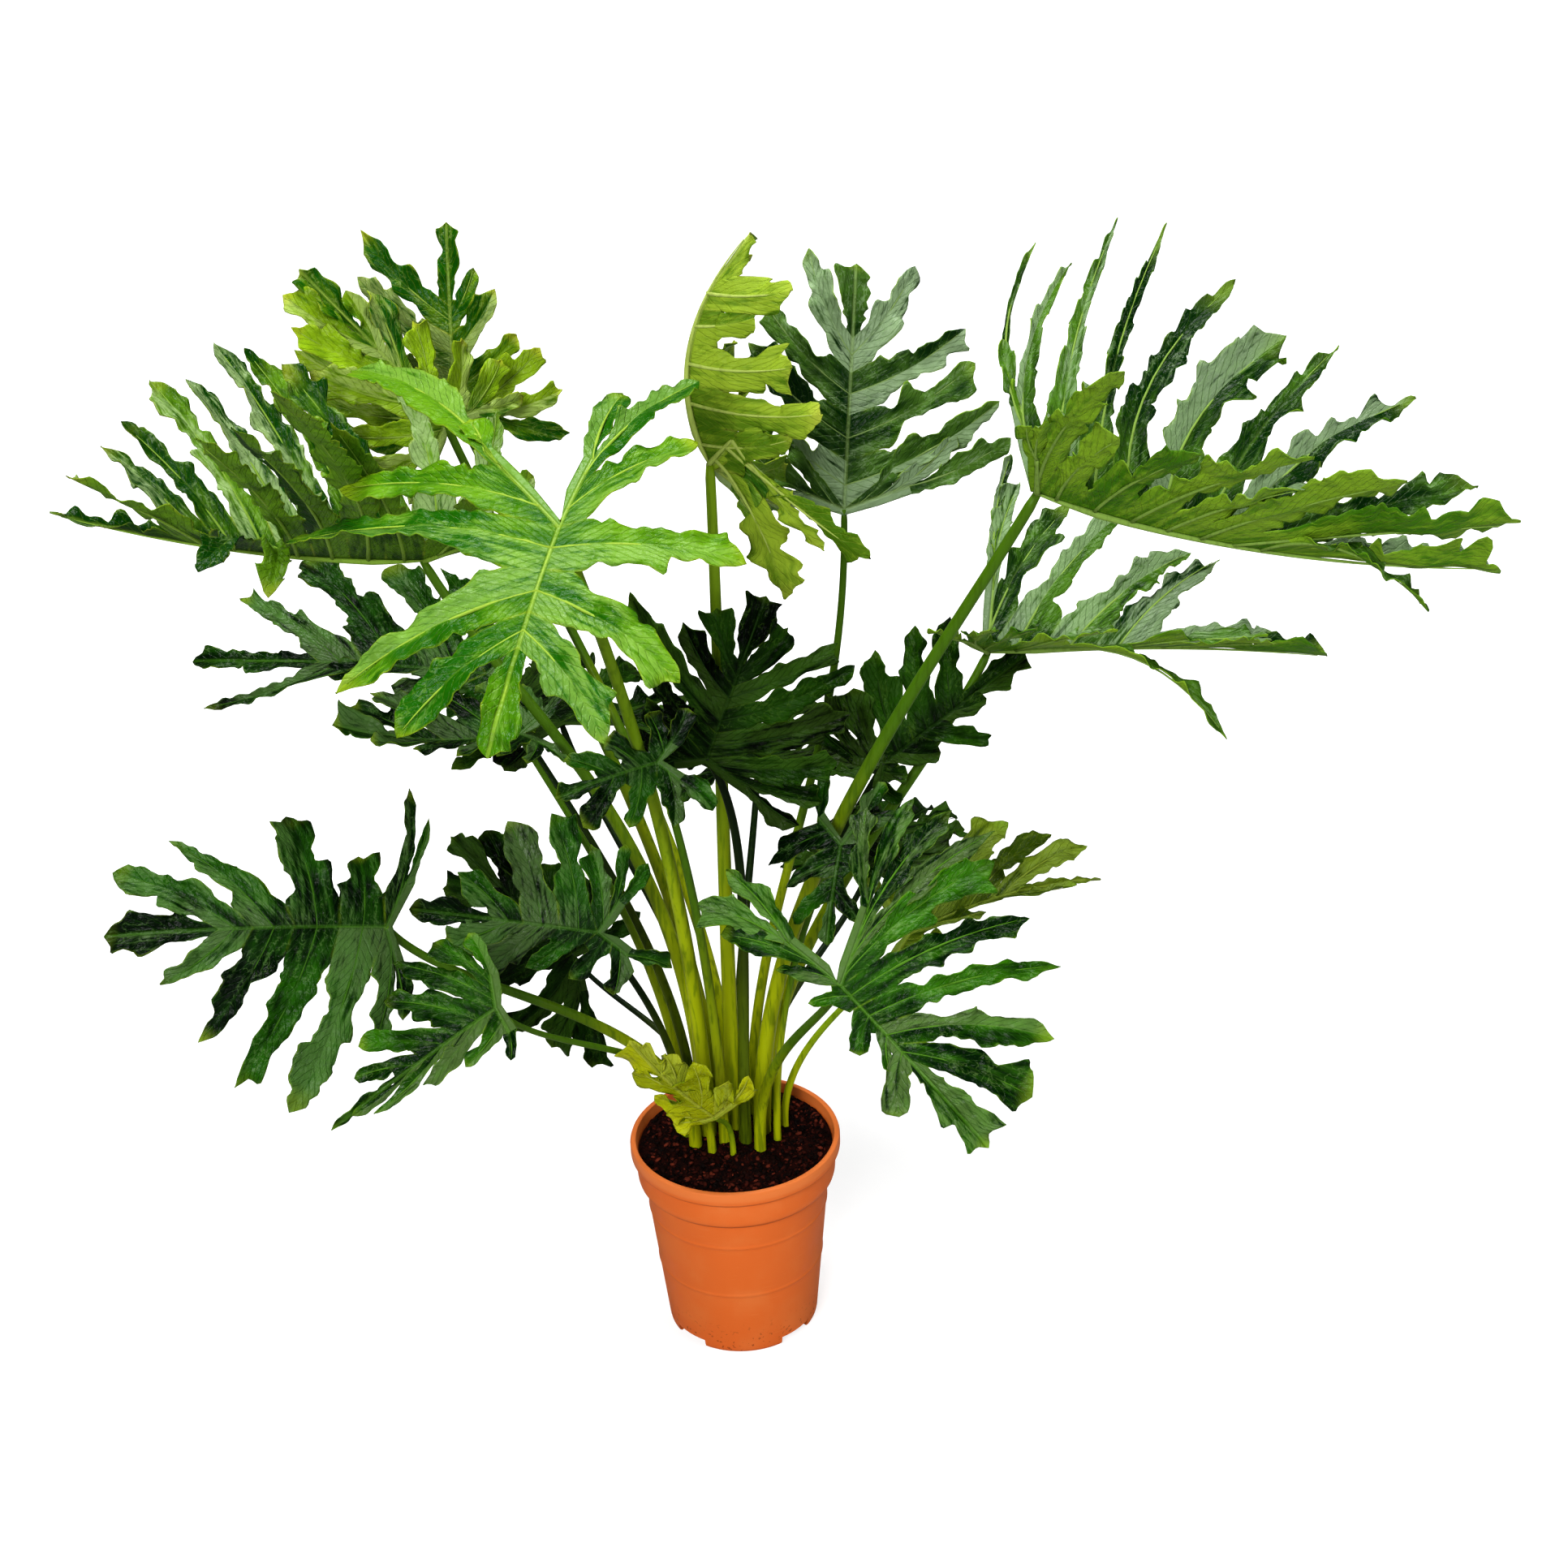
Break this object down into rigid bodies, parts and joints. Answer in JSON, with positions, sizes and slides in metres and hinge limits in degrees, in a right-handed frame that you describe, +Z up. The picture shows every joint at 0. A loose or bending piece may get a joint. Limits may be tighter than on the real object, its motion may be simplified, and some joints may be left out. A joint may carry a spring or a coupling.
{
  "type": "potted houseplant",
  "caption": "Lacy tree philodendron: long arching petioles with deeply cut, wavy-edged leaves, growing from soil in a round plastic nursery pot.",
  "frame": {"origin": "centre of the pot's underside, on the surface it stands on", "axes": "+Z up, -Y towards the viewer of the picture, +X to the viewer's right along the plant's widest spread"},
  "size_m": [1.239, 0.84, 1.103],
  "materials": {
    "pot": "satin",
    "soil": "matte",
    "petiole": "satin",
    "blade_bright": "satin",
    "blade_middle": "satin",
    "blade_dark": "satin"
  },
  "bodies": {
    "root": {"pot": "pot", "soil": "soil", "front_petiole": "petiole", "front_blade": "blade_bright", "far_left_petiole": "petiole", "far_left_blade": "blade_middle", "upper_left_back_petiole": "petiole", "upper_left_back_blade": "blade_middle", "upper_left_front_petiole": "petiole", "upper_left_front_blade": "blade_middle", "top_petiole": "petiole", "top_blade": "blade_bright", "upper_right_petiole": "petiole", "upper_right_blade": "blade_middle", "far_right_petiole": "petiole", "far_right_blade": "blade_middle", "right_petiole": "petiole", "right_blade": "blade_middle", "right_inner_petiole": "petiole", "right_inner_blade": "blade_dark", "centre_petiole": "petiole", "centre_blade": "blade_dark", "centre_left_petiole": "petiole", "centre_left_blade": "blade_middle", "left_petiole": "petiole", "left_blade": "blade_dark", "left_low_petiole": "petiole", "left_low_blade": "blade_middle", "lower_left_petiole": "petiole", "lower_left_blade": "blade_middle", "low_left_petiole": "petiole", "low_left_blade": "blade_middle", "back_left_petiole": "petiole", "back_left_blade": "blade_dark", "middle_left_petiole": "petiole", "middle_left_blade": "blade_dark", "lower_right_petiole": "petiole", "lower_right_blade": "blade_middle", "low_right_back_petiole": "petiole", "low_right_back_blade": "blade_bright", "low_right_petiole": "petiole", "low_right_blade": "blade_middle", "young_petiole": "petiole", "young_blade": "blade_bright", "back_middle_petiole": "petiole", "back_middle_blade": "blade_dark", "back_right_petiole": "petiole", "back_right_blade": "blade_dark", "back_high_petiole": "petiole", "back_high_blade": "blade_dark"}
  },
  "joints": []
}
